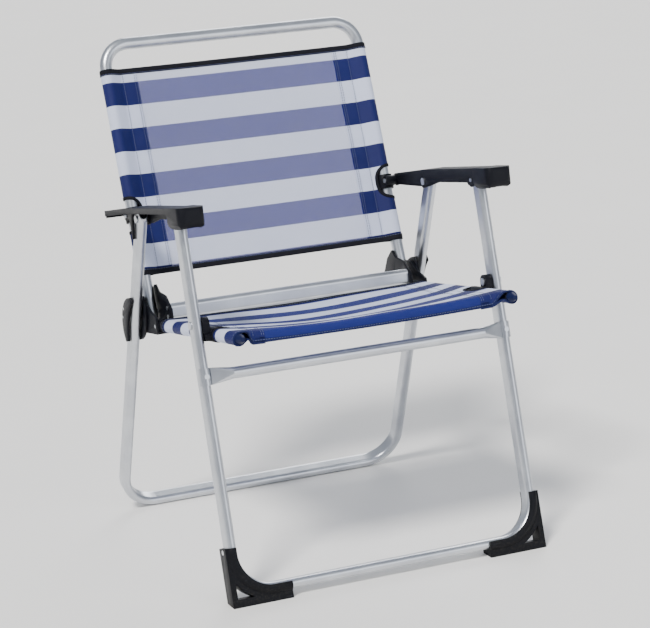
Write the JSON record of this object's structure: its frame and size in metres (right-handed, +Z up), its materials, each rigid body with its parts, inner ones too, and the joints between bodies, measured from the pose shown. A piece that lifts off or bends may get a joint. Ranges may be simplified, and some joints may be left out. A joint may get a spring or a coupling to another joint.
{
  "type": "folding camp chair",
  "caption": "Folding chair with flat-oval tube leg frames, sling seat and back of striped cloth, plastic armrests, and rear legs that slide through the seat's hinge plates.",
  "frame": {"origin": "on the ground, midway between the sides and midway between the front of the feet and the back of the top bar", "axes": "+Z up, front of the chair towards -Y, +X across the seat"},
  "size_m": [0.5606, 0.5829, 0.798],
  "materials": {
    "frame_tube": "satin",
    "dark_plastic": "satin",
    "rivet_metal": "bright",
    "striped_cloth": "woven, navy and white cross stripes"
  },
  "bodies": {
    "rear_frame": {"rear_leg_tube": "frame_tube", "rear_leg_plugs": "dark_plastic"},
    "front_frame": {"front_leg_tube": "frame_tube", "front_leg_plugs": "dark_plastic", "front_brace": "frame_tube", "brace_rivets": "rivet_metal", "left_front_foot": "dark_plastic", "right_front_foot": "dark_plastic", "foot_rivets": "rivet_metal"},
    "armrests": {"left_armrest": "dark_plastic", "right_armrest": "dark_plastic", "front_arm_pins": "rivet_metal", "rear_arm_pins": "rivet_metal", "back_arm_pins": "rivet_metal"},
    "seat": {"left_seat_rail": "frame_tube", "right_seat_rail": "frame_tube", "rail_caps": "dark_plastic", "seat_crossbar": "frame_tube", "crossbar_rivets": "rivet_metal", "seat_fabric": "striped_cloth", "left_hip_bracket": "dark_plastic", "right_hip_bracket": "dark_plastic", "hip_pins": "rivet_metal", "bracket_rivets": "rivet_metal", "left_knee_bracket": "dark_plastic", "right_knee_bracket": "dark_plastic", "knee_pins": "rivet_metal"},
    "back": {"back_tube": "frame_tube", "back_fabric": "striped_cloth", "left_back_clamp": "dark_plastic", "right_back_clamp": "dark_plastic"},
    "sliders": {"left_slider_inner": "dark_plastic", "right_slider_inner": "dark_plastic", "left_slider_outer": "dark_plastic", "right_slider_outer": "dark_plastic", "slider_screws": "rivet_metal"}
  },
  "joints": [
    {"name": "fold", "type": "hinge", "parent": "rear_frame", "child": "armrests", "pos_m": [0, 0.05345, 0.54], "axis": [-1, 0, 0], "range_deg": [0, 52.4]},
    {"name": "front_legs_turn", "type": "hinge", "parent": "armrests", "child": "front_frame", "pos_m": [0, -0.12216, 0.57], "axis": [1, 0, 0], "range_deg": [0, 80.4]},
    {"name": "seat_turn", "type": "hinge", "parent": "front_frame", "child": "seat", "pos_m": [0, -0.166, 0.413], "axis": [-1, 0, 0], "range_deg": [0, 80.4]},
    {"name": "back_turn", "type": "hinge", "parent": "armrests", "child": "back", "pos_m": [0, 0.15984, 0.527], "axis": [1, 0, 0], "range_deg": [0, 80.4]},
    {"name": "slider_turn", "type": "hinge", "parent": "seat", "child": "sliders", "pos_m": [0, 0.116, 0.37], "axis": [1, 0, 0], "range_deg": [0, 52.4]}
  ],
  "couplings": [
    {"joint": "front_legs_turn", "follows": "fold", "ratio": 1.5337},
    {"joint": "seat_turn", "follows": "fold", "ratio": 1.5337},
    {"joint": "back_turn", "follows": "fold", "ratio": 1.5337},
    {"joint": "slider_turn", "follows": "fold", "ratio": 1}
  ]
}
